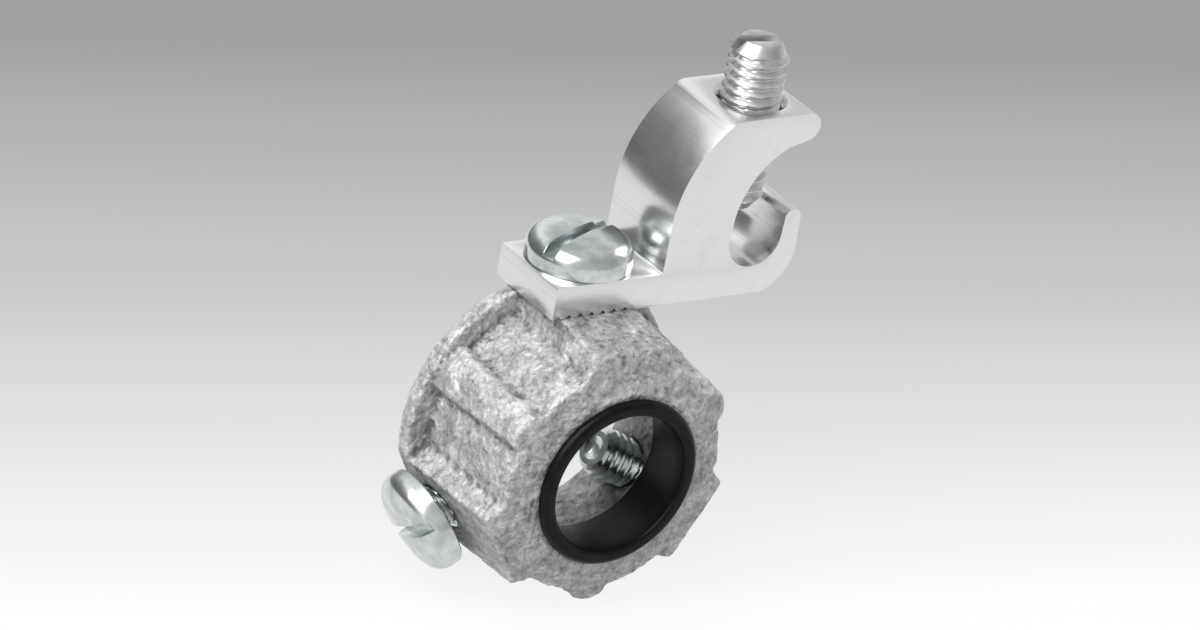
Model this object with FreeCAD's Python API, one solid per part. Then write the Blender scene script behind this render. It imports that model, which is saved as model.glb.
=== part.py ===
import FreeCAD
import Part
import math
import os
from FreeCAD import Vector

# Millimetres. X runs along the lug, Y runs back along the conduit and Z runs up through the lug.
# The origin is the centre of the shoulder that the conduit's end meets.

# Casting. Depths are measured back from the front face.
BODY_LENGTH = 16.8
SHOULDER_DEPTH = 6.0
BARREL_RADIUS = 13.1
BARREL_DRAFT = 0.4
RIM_RADIUS = 16.0
RIM_THICKNESS = 1.9
FACE_FLAT_RADIUS = 9.8
FACE_SLOPE = 0.21
PAD_FRONT_HEIGHT = 14.2
PAD_BACK_HEIGHT = 15.1
LUG_SEAT_HEIGHT = 15.2
LUG_SEAT_DEPTH = 7.4
PAD_FRONT_WIDTH = 9.2
PAD_BACK_WIDTH = 9.5
PAD_FLARE = 0.22
RIB_FRONT_RADIUS = 14.5
RIB_BACK_RADIUS = 15.55
RIB_FRONT_WIDTH = 3.6
RIB_BACK_WIDTH = 5.0
ROOT_ROUND = 0.5
RIB_ROUND = 0.6
EDGE_ROUND = 0.35
RIM_ROUND = 0.3
PAD_ANGLES = (0, 120, 240)
RIB_ANGLES = (60, 180, 300)

# Bores of the casting.
THROAT_RADIUS = 8.95
SEAT_RADIUS = 10.9
SEAT_LENGTH = 2.5
SOCKET_RADIUS = 11.2
MOUTH_RADIUS = 12.4

# Insulating throat.
LINER_RIM_RADIUS = 9.4
LINER_RIM_HEIGHT = 0.95
LINER_LIP_RADIUS = 7.8
LINER_BORE_RADIUS = 8.3

# Slotted pan-head screws.
SCREW_RADIUS = 2.74
SET_SCREW_LENGTH = 9.8
LUG_SCREW_LENGTH = 7.9
TIP_CHAMFER = 0.8
CUP_RADIUS = 1.4
CUP_DEPTH = 0.5
HEAD_RADIUS = 5.65
HEAD_RIM = 1.0
HEAD_HEIGHT = 3.4
SLOT_WIDTH = 1.4
SLOT_DEPTH = 1.7
THREAD_CLEARANCE = 0.05
SET_SCREW_DEPTH = 11.6
SET_SCREW_HEIGHT = 16.1
SET_SCREW_SLOT = 33
LUG_SCREW_DEPTH = 13.2
LUG_SCREW_SLOT = 20

# Lay-in lug.
LUG_WIDTH = 10.6
LUG_GAP = 0.02
FOOT_THICKNESS = 3.64
FOOT_REACH = 5.85
FOOT_HOLE_RADIUS = 3.0
PLATE_TOP = 20.25
CUP_CENTRE = (24.05, 6.45)
WIRE_CUP_RADIUS = 3.3
TOOTH_PITCH = 1.385
TOOTH_DEPTH = 0.4
TOOTH_COUNT = 7
FIRST_TOOTH = 0.65

# Wire clamp screw.
CLAMP_RADIUS = 3.25
CLAMP_TIP_HEIGHT = 8.3
CLAMP_TOP_HEIGHT = 26.75
CLAMP_TIP_CHAMFER = 0.95
CLAMP_TOP_CHAMFER = 1.1
CLAMP_SLOT_WIDTH = 1.4
CLAMP_SLOT_DEPTH = 1.9
CLAMP_SLOT = -14
CLAMP_GROOVES = 15
THREAD_DEPTH = 0.48
THREAD_CREST = 0.14
COUNTERSINK_RADIUS = 3.95

CENTRE = Vector(0, 0, 0)
BORE_AXIS = Vector(0, 1, 0)
OUT_OF_FACE = Vector(0, -1, 0)
UP = Vector(0, 0, 1)


def y_at(depth):
    """Y of a depth behind the front face."""
    return depth - SHOULDER_DEPTH


def turned(shape, angle):
    """A copy turned about the bore, counter-clockwise as seen from the front."""
    copy = shape.copy()
    copy.rotate(CENTRE, OUT_OF_FACE, angle)
    return copy


def path(points):
    """Edges through a list of points, with an arc wherever a point comes as a (middle, end) pair."""
    edges = []
    here = points[0]
    for step in points[1:]:
        if isinstance(step, tuple):
            edges.append(Part.Arc(here, step[0], step[1]).toShape())
            here = step[1]
        else:
            edges.append(Part.makeLine(here, step))
            here = step
    if not here.isEqual(points[0], 1e-6):
        edges.append(Part.makeLine(here, points[0]))
    return Part.Wire(edges)


def spun(points):
    """A solid turned about the bore from (radius, depth) points."""
    def place(step):
        if isinstance(step[0], tuple):
            return tuple(place(p) for p in step)
        return Vector(step[0], y_at(step[1]), 0)

    wire = path([place(step) for step in points])
    return Part.Face(wire).revolve(CENTRE, BORE_AXIS, 360)


def bore(radius, start, end):
    """A round hole along the bore between two depths."""
    return Part.makeCylinder(radius, end - start, Vector(0, y_at(start), 0), BORE_AXIS)


def pad_section(depth, width):
    """Cross-section of a screw pad, wider at its root."""
    low = BARREL_RADIUS - 3
    high = RIM_RADIUS + 2
    half_low = width / 2 + PAD_FLARE * (LUG_SEAT_HEIGHT - low)
    half_high = width / 2 - PAD_FLARE * (high - LUG_SEAT_HEIGHT)
    y = y_at(depth)
    return path([
        Vector(-half_low, y, low),
        Vector(half_low, y, low),
        Vector(half_high, y, high),
        Vector(-half_high, y, high),
    ])


def pad_profile(heights):
    """Slab below the top line of a pad, given as (depth, height) points from front to back."""
    corners = [Vector(-12, y_at(heights[0][0]), 0)]
    corners += [Vector(-12, y_at(depth), height) for depth, height in heights]
    corners.append(Vector(-12, y_at(heights[-1][0]), 0))
    return Part.Face(path(corners)).extrude(Vector(24, 0, 0))


def pad(heights):
    """Flat-topped screw pad that widens towards the back."""
    block = Part.makeLoft([pad_section(0, PAD_FRONT_WIDTH), pad_section(BODY_LENGTH, PAD_BACK_WIDTH)], True, True)
    return block.common(pad_profile(heights))


def rib_section(depth, width, radius):
    """Cross-section of a rounded rib."""
    low = BARREL_RADIUS - 2
    root = width / 2 + 0.6
    shoulder = width / 2
    y = y_at(depth)
    return path([
        Vector(-root, y, low),
        Vector(root, y, low),
        Vector(shoulder, y, radius - 0.55),
        (Vector(0, y, radius), Vector(-shoulder, y, radius - 0.55)),
    ])


def rib():
    """Rib that widens and rises towards the back rim."""
    front = rib_section(0, RIB_FRONT_WIDTH, RIB_FRONT_RADIUS)
    back = rib_section(BODY_LENGTH, RIB_BACK_WIDTH, RIB_BACK_RADIUS)
    return Part.makeLoft([front, back], True, True)


def pad_heights(angle):
    """Top line of the pad at an angle: the lug's pad rises to a seat that is parallel to the bore."""
    if angle == 0:
        return [
            (0, PAD_FRONT_HEIGHT),
            (LUG_SEAT_DEPTH, LUG_SEAT_HEIGHT),
            (BODY_LENGTH, LUG_SEAT_HEIGHT),
        ]
    return [(0, PAD_FRONT_HEIGHT), (BODY_LENGTH, PAD_BACK_HEIGHT)]


def back_rim():
    """Round rim behind the pockets, flat where a pad runs through it."""
    rim = bore(RIM_RADIUS, BODY_LENGTH - RIM_THICKNESS, BODY_LENGTH)
    for angle in PAD_ANGLES:
        above = Part.makeBox(24, BODY_LENGTH, 12, Vector(-12, y_at(0), LUG_SEAT_HEIGHT - 4))
        rim = rim.cut(turned(above.cut(pad_profile(pad_heights(angle))), angle))
    return rim


def front_dome():
    """Everything behind the shallow cone of the front face."""
    reach = RIM_RADIUS + 3
    drop = FACE_SLOPE * (reach - FACE_FLAT_RADIUS)
    return spun([(0, 0), (FACE_FLAT_RADIUS, 0), (reach, drop), (reach, BODY_LENGTH), (0, BODY_LENGTH)])


def bore_tools():
    """Throat, conduit seat, socket and the bevelled mouth."""
    seat_end = SHOULDER_DEPTH + SEAT_LENGTH
    bevel = MOUTH_RADIUS - SOCKET_RADIUS
    throat = bore(THROAT_RADIUS, -1, SHOULDER_DEPTH + 1)
    seat = bore(SEAT_RADIUS, SHOULDER_DEPTH, seat_end + 1)
    socket = bore(SOCKET_RADIUS, seat_end, BODY_LENGTH + 1)
    mouth = spun([
        (0, BODY_LENGTH - bevel),
        (SOCKET_RADIUS, BODY_LENGTH - bevel),
        (MOUTH_RADIUS, BODY_LENGTH),
        (MOUTH_RADIUS, BODY_LENGTH + 1),
        (0, BODY_LENGTH + 1),
    ])
    return [throat, seat, socket, mouth]


def screw_hole(angle, depth):
    """Hole through a pad for one of the pan-head screws."""
    start = Vector(0, y_at(depth), SOCKET_RADIUS - 3)
    return turned(Part.makeCylinder(SCREW_RADIUS + THREAD_CLEARANCE, 12, start, UP), angle)


def screw_depth(angle):
    """How far behind the front face the screw of a pad sits."""
    return LUG_SCREW_DEPTH if angle == 0 else SET_SCREW_DEPTH


def rounded(solid, radius, wanted):
    """The solid with some edges rounded: wanted sees an edge, its distance from the bore and its depth."""
    edges = []
    for edge in solid.Edges:
        middle = edge.valueAt((edge.FirstParameter + edge.LastParameter) / 2)
        if wanted(edge, math.hypot(middle.x, middle.z), middle.y + SHOULDER_DEPTH):
            edges.append(edge)
    return solid.makeFillet(radius, edges).Solids[0]


def runs_along(edge, depth):
    """True for an edge that runs most of the way along the casting."""
    return edge.Length > 9 and 2 < depth < BODY_LENGTH - 2.3


def at_pocket_end(depth):
    return abs(depth - BODY_LENGTH + RIM_THICKNESS) < 0.01


def is_pocket_root(edge, reach, depth):
    """Edges all round the floor of a pocket."""
    if at_pocket_end(depth):
        return edge.Length < 6 and reach < RIM_RADIUS - 0.7
    return runs_along(edge, depth) and reach < BARREL_RADIUS + 0.5


def is_rib_shoulder(edge, reach, depth):
    return runs_along(edge, depth) and BARREL_RADIUS + 1.2 < reach < BARREL_RADIUS + 1.9


def is_pad_border(edge, reach, depth):
    return runs_along(edge, depth) and reach > BARREL_RADIUS + 2.1


def is_front_outline(edge, reach, depth):
    return 0.3 < depth < 1.3 and reach > BARREL_RADIUS - 0.9


def is_rim_edge(edge, reach, depth):
    on_rim = at_pocket_end(depth) or abs(depth - BODY_LENGTH) < 0.01
    return on_rim and reach > RIM_RADIUS - 0.3 and isinstance(edge.Curve, Part.Circle)


def cast_form():
    """Outside of the casting: barrel, pads, ribs and rim in one piece, with soft cast edges."""
    barrel = Part.makeCone(
        BARREL_RADIUS, BARREL_RADIUS + BARREL_DRAFT, BODY_LENGTH, Vector(0, y_at(0), 0), BORE_AXIS)
    pieces = [turned(pad(pad_heights(angle)), angle) for angle in PAD_ANGLES]
    pieces += [turned(rib(), angle) for angle in RIB_ANGLES]
    pieces.append(back_rim())
    form = barrel.fuse(pieces).removeSplitter().common(front_dome()).Solids[0]
    form = rounded(form, ROOT_ROUND, is_pocket_root)
    form = rounded(form, RIB_ROUND, is_rib_shoulder)
    form = rounded(form, EDGE_ROUND, is_pad_border)
    form = rounded(form, EDGE_ROUND, is_front_outline)
    return rounded(form, RIM_ROUND, is_rim_edge)


def bushing_body():
    """Casting with its bores and screw holes."""
    holes = bore_tools() + [screw_hole(angle, screw_depth(angle)) for angle in PAD_ANGLES]
    return cast_form().cut(holes).removeSplitter()


def throat_liner():
    """Plastic throat: a rounded rim in front of the casting and a sleeve inside it."""
    rim_top = -LINER_RIM_HEIGHT
    end = SHOULDER_DEPTH - 0.2
    return spun([
        (THROAT_RADIUS, 0),
        (LINER_RIM_RADIUS, 0),
        (LINER_RIM_RADIUS, 0.35 * rim_top),
        ((LINER_RIM_RADIUS - 0.22, 0.82 * rim_top), (LINER_RIM_RADIUS - 0.75, rim_top)),
        (LINER_LIP_RADIUS + 0.45, rim_top),
        ((LINER_LIP_RADIUS + 0.12, 0.86 * rim_top), (LINER_LIP_RADIUS, 0.55 * rim_top)),
        (LINER_LIP_RADIUS, 0.6),
        ((LINER_LIP_RADIUS + 0.12, 1.5), (LINER_BORE_RADIUS, 2.4)),
        (LINER_BORE_RADIUS, end),
        (THROAT_RADIUS, end),
    ])


def slot(width, depth, top, length, angle):
    """Screwdriver slot across the top of a screw that stands on Z."""
    cutter = Part.makeBox(length, width, depth + 1, Vector(-length / 2, -width / 2, top - depth))
    cutter.rotate(CENTRE, UP, angle)
    return cutter


def standing(points):
    """A solid turned about Z from (radius, height) points."""
    def place(step):
        if isinstance(step[0], tuple):
            return tuple(place(p) for p in step)
        return Vector(step[0], 0, step[1])

    wire = path([place(step) for step in points])
    return Part.Face(wire).revolve(CENTRE, UP, 360)


def pan_screw(length, slot_angle):
    """Pan-head screw on Z, with the underside of its head at the origin."""
    tip = -length
    screw = standing([
        (0, tip + CUP_DEPTH),
        (CUP_RADIUS, tip),
        (SCREW_RADIUS - TIP_CHAMFER, tip),
        (SCREW_RADIUS, tip + TIP_CHAMFER),
        (SCREW_RADIUS, 0),
        (HEAD_RADIUS - 0.15, 0),
        (HEAD_RADIUS, 0.15),
        (HEAD_RADIUS, HEAD_RIM),
        ((0.915 * HEAD_RADIUS, 0.7 * HEAD_HEIGHT), (0.69 * HEAD_RADIUS, 0.9 * HEAD_HEIGHT)),
        ((0.35 * HEAD_RADIUS, 0.975 * HEAD_HEIGHT), (0, HEAD_HEIGHT)),
    ])
    return screw.cut(slot(SLOT_WIDTH, SLOT_DEPTH, HEAD_HEIGHT, 4 * HEAD_RADIUS, slot_angle))


def set_screw(angle):
    """Set screw in one of the lower pads, part way in as in the picture."""
    screw = pan_screw(SET_SCREW_LENGTH, 90 + SET_SCREW_SLOT)
    screw.translate(Vector(0, y_at(SET_SCREW_DEPTH), SET_SCREW_HEIGHT))
    return turned(screw, angle)


def foot_top():
    return LUG_SEAT_HEIGHT + LUG_GAP + FOOT_THICKNESS


def lug_screw():
    """Screw that holds the lug down on its pad."""
    screw = pan_screw(LUG_SCREW_LENGTH, LUG_SCREW_SLOT)
    screw.translate(Vector(0, y_at(LUG_SCREW_DEPTH), foot_top() + LUG_GAP))
    return screw


def lug_point(x, z):
    """A point of the lug's outline, measured from the foot's free bottom corner."""
    return Vector(x - FOOT_REACH, y_at(LUG_SCREW_DEPTH) - LUG_WIDTH / 2, z + LUG_SEAT_HEIGHT + LUG_GAP)


def lug_teeth():
    """Grooves across the underside of the foot, from the riser back to its free end."""
    points = []
    for i in reversed(range(TOOTH_COUNT)):
        x = FIRST_TOOTH + i * TOOTH_PITCH
        points += [lug_point(x + TOOTH_DEPTH, 0), lug_point(x, TOOTH_DEPTH), lug_point(x - TOOTH_DEPTH, 0)]
    return points


def lug_outline():
    """Extruded profile: foot, curved riser, top plate over an open wire cup, and the lower jaw."""
    cup_x, cup_z = CUP_CENTRE
    left = cup_x - WIRE_CUP_RADIUS
    right = cup_x + WIRE_CUP_RADIUS
    return path([
        lug_point(0, 0),
        lug_point(0, FOOT_THICKNESS),
        lug_point(12.55, FOOT_THICKNESS),
        (lug_point(12.83, 3.76), lug_point(12.95, 4.05)),
        lug_point(12.95, 9.2),
        (lug_point(14.35, 14.85), lug_point(17.5, 18.95)),
        lug_point(18.6, PLATE_TOP),
        lug_point(27.8, PLATE_TOP),
        (lug_point(29.6, 18.75), lug_point(28.4, 17.15)),
        lug_point(26.3, 16.65),
        (lug_point(22.5, 13.35), lug_point(left + 0.1, cup_z + 1.85)),
        lug_point(left, cup_z),
        (lug_point(cup_x, cup_z - WIRE_CUP_RADIUS), lug_point(right, cup_z)),
        lug_point(right + 0.1, cup_z + 1.85),
        (lug_point(28.4, 9.25), lug_point(29.4, 8.3)),
        lug_point(29.55, 4.9),
        (lug_point(28.7, 2.05), lug_point(26.1, 0)),
    ] + lug_teeth())


def lay_in_lug():
    """Lug extruded along the bore, with the mounting hole and the hole for the clamp screw."""
    lug = Part.Face(lug_outline()).extrude(Vector(0, LUG_WIDTH, 0))
    base = LUG_SEAT_HEIGHT + LUG_GAP
    y = y_at(LUG_SCREW_DEPTH)
    clamp_x = CUP_CENTRE[0] - FOOT_REACH
    foot_hole = Part.makeCylinder(FOOT_HOLE_RADIUS, FOOT_THICKNESS + 2, Vector(0, y, base - 1), UP)
    clamp_hole = Part.makeCylinder(CLAMP_RADIUS + THREAD_CLEARANCE, 16, Vector(clamp_x, y, base + CUP_CENTRE[1]), UP)
    sink = COUNTERSINK_RADIUS - CLAMP_RADIUS
    countersink = Part.makeCone(
        CLAMP_RADIUS, COUNTERSINK_RADIUS + 1, sink + 1, Vector(clamp_x, y, base + PLATE_TOP - sink), UP)
    return lug.cut([foot_hole, clamp_hole, countersink])


def clamp_thread():
    """Thread of the clamp screw, drawn as plain rings: (radius, height) points from its tip upwards."""
    low = CLAMP_TIP_HEIGHT + CLAMP_TIP_CHAMFER
    high = CLAMP_TOP_HEIGHT - CLAMP_TOP_CHAMFER
    pitch = (high - low) / CLAMP_GROOVES
    crest = THREAD_CREST * pitch
    points = [(CLAMP_RADIUS, low)]
    for i in range(CLAMP_GROOVES):
        start = low + i * pitch
        points.append((CLAMP_RADIUS, start + crest / 2))
        points.append((CLAMP_RADIUS - THREAD_DEPTH, start + pitch / 2))
        points.append((CLAMP_RADIUS, start + pitch - crest / 2))
    return points + [(CLAMP_RADIUS, high)]


def clamp_screw():
    """Headless slotted screw with bevelled ends, down in the lug's top plate."""
    tip = [(0, CLAMP_TIP_HEIGHT), (CLAMP_RADIUS - CLAMP_TIP_CHAMFER, CLAMP_TIP_HEIGHT)]
    top = [(CLAMP_RADIUS - CLAMP_TOP_CHAMFER, CLAMP_TOP_HEIGHT), (0, CLAMP_TOP_HEIGHT)]
    screw = standing(tip + clamp_thread() + top)
    screw = screw.cut(slot(CLAMP_SLOT_WIDTH, CLAMP_SLOT_DEPTH, CLAMP_TOP_HEIGHT, 12, CLAMP_SLOT))
    screw.translate(Vector(CUP_CENTRE[0] - FOOT_REACH, y_at(LUG_SCREW_DEPTH), LUG_SEAT_HEIGHT + LUG_GAP))
    return screw


def main():
    os.makedirs("parts", exist_ok=True)
    bushing_body().exportStep("parts/bushing_body.step")
    throat_liner().exportStep("parts/throat_liner.step")
    lay_in_lug().exportStep("parts/lay_in_lug.step")
    lug_screw().exportStep("parts/lug_screw.step")
    clamp_screw().exportStep("parts/clamp_screw.step")
    set_screw(120).exportStep("parts/set_screw_left.step")
    set_screw(240).exportStep("parts/set_screw_right.step")


main()
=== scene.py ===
import math

import bmesh
import bpy
from bpy.props import FloatProperty, FloatVectorProperty, IntProperty, PointerProperty
from mathutils import Matrix, Vector


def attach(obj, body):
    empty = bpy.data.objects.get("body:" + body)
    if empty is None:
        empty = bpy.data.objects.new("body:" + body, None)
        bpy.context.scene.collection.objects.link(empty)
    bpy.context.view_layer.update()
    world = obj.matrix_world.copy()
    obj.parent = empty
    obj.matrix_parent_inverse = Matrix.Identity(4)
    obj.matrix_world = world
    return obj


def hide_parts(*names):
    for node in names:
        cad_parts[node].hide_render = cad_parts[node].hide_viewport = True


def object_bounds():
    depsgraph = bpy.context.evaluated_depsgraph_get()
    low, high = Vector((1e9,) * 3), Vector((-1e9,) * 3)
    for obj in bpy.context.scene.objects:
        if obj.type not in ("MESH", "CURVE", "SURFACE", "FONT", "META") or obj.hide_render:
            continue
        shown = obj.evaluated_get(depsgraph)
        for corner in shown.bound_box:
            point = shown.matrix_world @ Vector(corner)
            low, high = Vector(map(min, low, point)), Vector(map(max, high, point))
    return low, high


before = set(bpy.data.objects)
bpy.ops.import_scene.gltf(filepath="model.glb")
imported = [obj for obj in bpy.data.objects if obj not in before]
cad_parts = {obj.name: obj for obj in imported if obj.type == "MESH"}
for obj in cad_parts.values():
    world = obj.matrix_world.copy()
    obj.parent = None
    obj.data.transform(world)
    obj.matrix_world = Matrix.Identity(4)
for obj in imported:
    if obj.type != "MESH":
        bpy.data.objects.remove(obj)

bl_info = {
    "name": "Grounding bushing",
    "version": (1, 0, 0),
    "blender": (4, 5, 0),
    "location": "3D View > Sidebar > Bushing",
    "description": "Dresses the solids of a threadless grounding bushing",
    "category": "Object",
}

MM = 0.001
CAD_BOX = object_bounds()

# Points closer than the first are one, and a ring narrower than the second is a point, in metres.
MERGE = 1e-6
ON_AXIS = 1e-9

# Where the pieces stand, in millimetres of the frame.
FRONT_FACE_Y = -6.0
SET_SCREW_Y = 5.6
SET_SCREW_REACH = 16.1
LUG_AXIS_Y = 7.2
LUG_BASE_Z = 15.22
LUG_CORNER_X = -5.85
CLAMP_X = 18.2

# The pads: angle from the top as seen from the front, place of the screw along Y, roughness of the face.
# The top pad's 0.4 also paints it darker, as painted shade under the lug.
PADS = ((0, LUG_AXIS_Y, 0.4), (120, SET_SCREW_Y, 0.7), (240, SET_SCREW_Y, 0.7))

# Where the casting is smooth, in millimetres: the throat's seat by its radius and its back along Y,
# a screw's hole by its radius and its start above the bore's axis, the lug's seat by its height above it.
# Where the skin is smooth it is also painted darker, as painted shade.
LINER_SEAT = 9.75
SHOULDER_BACK = 1.0
HOLE_SKIN = 3.4
HOLE_START = 10.0
LUG_SEAT = 14.9

# Where a pad's face is less rough, in millimetres: its height above the bore's axis and half its width.
PAD_SKIN = 14.6
PAD_HALF_WIDTH = 5.2

# How hollow the casting's skin is: steps of the mesh to average over, and the unit in millimetres.
HOLLOW_STEPS = 9
HOLLOW_UNIT = 0.05

# How deep the throat reaches into the casting, in millimetres.
LINER_DEPTH = 5.8

# The lug's outline in millimetres from the foot's free bottom corner. A pair is an arc: middle, end.
FOOT_TOP = 3.64
LUG_OUTLINE = (
    (0, 0),
    (0, FOOT_TOP),
    (12.55, FOOT_TOP),
    ((12.83, 3.76), (12.95, 4.05)),
    (12.95, 9.2),
    ((14.35, 14.85), (18.1, 19.58)),
    ((18.6, 20.0), (19.2, 20.25)),
    (27.8, 20.25),
    ((29.6, 18.75), (28.4, 17.15)),
    (26.3, 16.65),
    ((22.5, 13.35), (20.85, 8.3)),
    (20.75, 6.45),
    ((24.05, 3.15), (27.35, 6.45)),
    (27.45, 8.3),
    ((28.4, 9.25), (29.4, 8.3)),
    (29.55, 4.9),
    ((28.7, 2.05), (26.1, 0)),
)

# The grooves under the foot: how many, and the place of the first in millimetres from the same corner.
GROOVES = 7
FIRST_GROOVE = 0.65

# The lug's holes as turned cutters: radius and height above its base, in millimetres.
SCREW_HOLE = ((0, -1), (3.0, -1), (3.0, 5), (0, 5))
CLAMP_HOLE = ((0, 6.45), (3.3, 6.45), (3.3, 19.6), (4.95, 21.25), (0, 21.25))

# The pan-head screws, in millimetres. The cup in a point is given as radius and height above its end.
LUG_SCREW_SHANK = 7.9
SET_SCREW_SHANK = 9.8
POINT_CUP = ((0.0, 0.5), (0.8, 0.4), (1.3, 0.0))
POINT_CHAMFER = 0.8
NECK = 0.02
HEAD_CHAMFER = 0.15
HEAD_GAP = 0.02

# The clamp screw's ends above the lug's base and the chamfers at them, in millimetres.
CLAMP_LOW = 8.3
CLAMP_HIGH = 26.75
CLAMP_TIP = 0.95
CLAMP_CROWN = 1.1

# How far the slots are turned, in degrees, and how far their cutter stands out, in millimetres.
LUG_SCREW_SLOT = 20
SET_SCREW_SLOT = 123
CLAMP_SLOT = -14
OVERCUT = 1.0

# How far below the clamp screw's slot its broken edges begin, in millimetres.
SLOT_MARGIN = 0.1

# A thread's flank in shares of half a pitch from the groove's middle: its foot and its crest.
FLANK = (0.12, 0.86)

# A thread's run-out in turns below its top: where the groove starts and where it is fully deep.
RUN_OUT = (0.1, 0.8)

# The mesh of a screw: columns around it, rows along one turn of its thread, and its creases in degrees.
SCREW_COLUMNS = 96
ROWS_PER_TURN = 12
SCREW_CREASE = 34

# The lamps: setting of their power, width and place in metres, and whether metal mirrors them.
# They all face one point.
LAMPS = (
    ("key", 0.65, (-0.52, -0.09, 0.56), True),
    ("top", 0.5, (-0.12, 0.25, 0.75), False),
    ("side", 0.9, (0.72, -0.22, 0.3), False),
)
LAMP_AIM = (0, 0, 0.01)

# The floor: half its width and the gap under the bushing, in metres.
FLOOR_REACH = 2.5
FLOOR_GAP = 0.0002

# Along the floor away from the camera, and the stretch in metres on which it turns from near to far.
AWAY = (0.251, 0.968, 0.0)
FADE = (-0.004, 0.132)

# The floor's own colour where it only throws light back, and where the camera sees it, and the share of its
# paint in what the camera and metal see.
FLOOR_COLOURS = ((0.0, (0.36, 0.36, 0.36)), (1.0, (0.85, 0.85, 0.85)))
PAINT_SHARE = 0.9

# Along the floor past the bushing's left side, the stretch on which metal sees it turn dark, and how dark.
FLOOR_SIDE = (-0.62, 0.785, 0.0)
FLOOR_EDGE = (0.185, 0.2)
FLOOR_SHADE = (0.1, 0.87)

# The room's colours from high in front on the right, at 0, to low behind on the left, at 1.
ROOM_SIDE = (-0.62, 0.62, -0.48)
ROOM_COLOURS = (
    (0.0, (0.5, 0.5, 0.5)),
    (0.2, (0.66, 0.66, 0.66)),
    (0.45, (0.68, 0.68, 0.68)),
    (0.53, (0.98, 0.98, 0.98)),
    (0.66, (0.95, 0.95, 0.95)),
    (0.70, (0.55, 0.55, 0.555)),
    (0.75, (0.37, 0.37, 0.375)),
    (0.82, (0.23, 0.23, 0.235)),
    (0.90, (0.18, 0.18, 0.185)),
)

# The picture's right and the way back to the camera, and the camera's place along right, up and back from
# the middle of the front face, in metres.
PICTURE_RIGHT = (0.823, -0.5424, 0.1689)
PICTURE_BACK = (-0.5558, -0.7071, 0.4371)
CAMERA_PLACE = (-0.001673, 0.01693, 0.612)


# Settings that a user would change.

def length(name, description, millimetres):
    """A length property whose default is given in millimetres."""
    return FloatProperty(
        name=name, description=description, default=millimetres * MM, min=0.0, precision=5,
        subtype="DISTANCE", unit="LENGTH")


def colour(name, description, value):
    """A linear colour property."""
    return FloatVectorProperty(
        name=name, description=description, default=value, min=0.0, max=1.0, size=3, subtype="COLOR")


def power(name, description, watts):
    """A lamp's power property."""
    return FloatProperty(name=name, description=description, default=watts, min=0.0, unit="POWER")


class CastingSettings(bpy.types.PropertyGroup):
    voxel: length("Mesh step", "Size of the even mesh that carries the cast skin", 0.225)
    grain_height: length("Grain height", "How far the rough skin stands in and out", 0.13)
    grain_size: length("Grain size", "Width of one lump of the rough skin", 1.2)
    seed: IntProperty(name="Seed", description="Pattern of the rough skin", default=7)
    # The bright and dull tones come from random noise, and also serve as painted highlight on ridges and
    # painted shade in creases and under the lug.
    light: colour("Bright zinc", "Colour of the bright crystals", (0.82, 0.82, 0.815))
    middle: colour("Zinc", "Colour of most of the skin", (0.50, 0.502, 0.502))
    dark: colour("Dull zinc", "Colour in the hollows of the skin", (0.17, 0.172, 0.175))


class LinerSettings(bpy.types.PropertyGroup):
    rim_radius: length("Rim radius", "Outside of the rim in front of the casting", 9.4)
    rim_height: length("Rim height", "How far the rim stands in front of the casting", 0.95)
    sleeve_radius: length("Sleeve radius", "Outside of the sleeve in the casting", 8.95)
    lip_radius: length("Lip radius", "Narrowest place of the throat", 7.8)
    bore_radius: length("Bore radius", "Inside of the sleeve behind the lip", 8.3)
    plastic: colour("Plastic", "Colour of the insulating throat", (0.003, 0.0033, 0.0045))
    worn: colour("Scuffed plastic", "Colour of the rubbed places", (0.008, 0.0083, 0.0098))


class LugSettings(bpy.types.PropertyGroup):
    width: length("Width", "Length of extrusion along the conduit", 10.6)
    edge: length("Edge break", "Width of the broken edges", 0.18)
    tooth_pitch: length("Tooth pitch", "Distance between the grooves under the foot", 1.385)
    tooth_depth: length("Tooth depth", "Depth of the grooves under the foot", 0.4)
    side: colour("Extruded side", "Colour of the drawn sides", (0.83, 0.83, 0.832))
    streak: colour("Streak", "Colour of the drawing lines", (0.75, 0.753, 0.756))
    sawn: colour("Sawn end", "Colour of the sawn ends", (0.85, 0.85, 0.852))


class PanScrewSettings(bpy.types.PropertyGroup):
    radius: length("Thread radius", "Outside of the thread", 2.7)
    pitch: length("Pitch", "Advance of the thread in one turn", 1.2)
    depth: length("Thread depth", "Depth of the thread", 0.56)
    head_radius: length("Head radius", "Radius of the pan head", 5.65)
    head_rim: length("Head rim", "Height of the head's upright rim", 1.0)
    head_height: length("Head height", "Height of the head", 3.4)
    slot_width: length("Slot width", "Width of the screwdriver slot", 1.4)
    slot_depth: length("Slot depth", "Depth of the screwdriver slot", 1.7)
    edge: length("Edge break", "Width of the broken edges at the slot", 0.09)
    plating: colour("Plating", "Colour of the zinc plating", (0.73, 0.768, 0.763))
    haze: colour("Plating haze", "Colour of the bluish film", (0.50, 0.55, 0.547))


class ClampScrewSettings(bpy.types.PropertyGroup):
    radius: length("Thread radius", "Outside of the thread", 3.2)
    pitch: length("Pitch", "Advance of the thread in one turn", 1.0933)
    depth: length("Thread depth", "Depth of the thread", 0.48)
    slot_width: length("Slot width", "Width of the screwdriver slot", 1.4)
    slot_depth: length("Slot depth", "Depth of the screwdriver slot", 1.9)
    edge: length("Edge break", "Width of the broken edges at the slot", 0.08)
    steel: colour("Steel", "Colour of the bright screw", (0.68, 0.68, 0.673))
    oil: colour("Oil stain", "Colour of the darker marks", (0.50, 0.50, 0.495))


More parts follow.
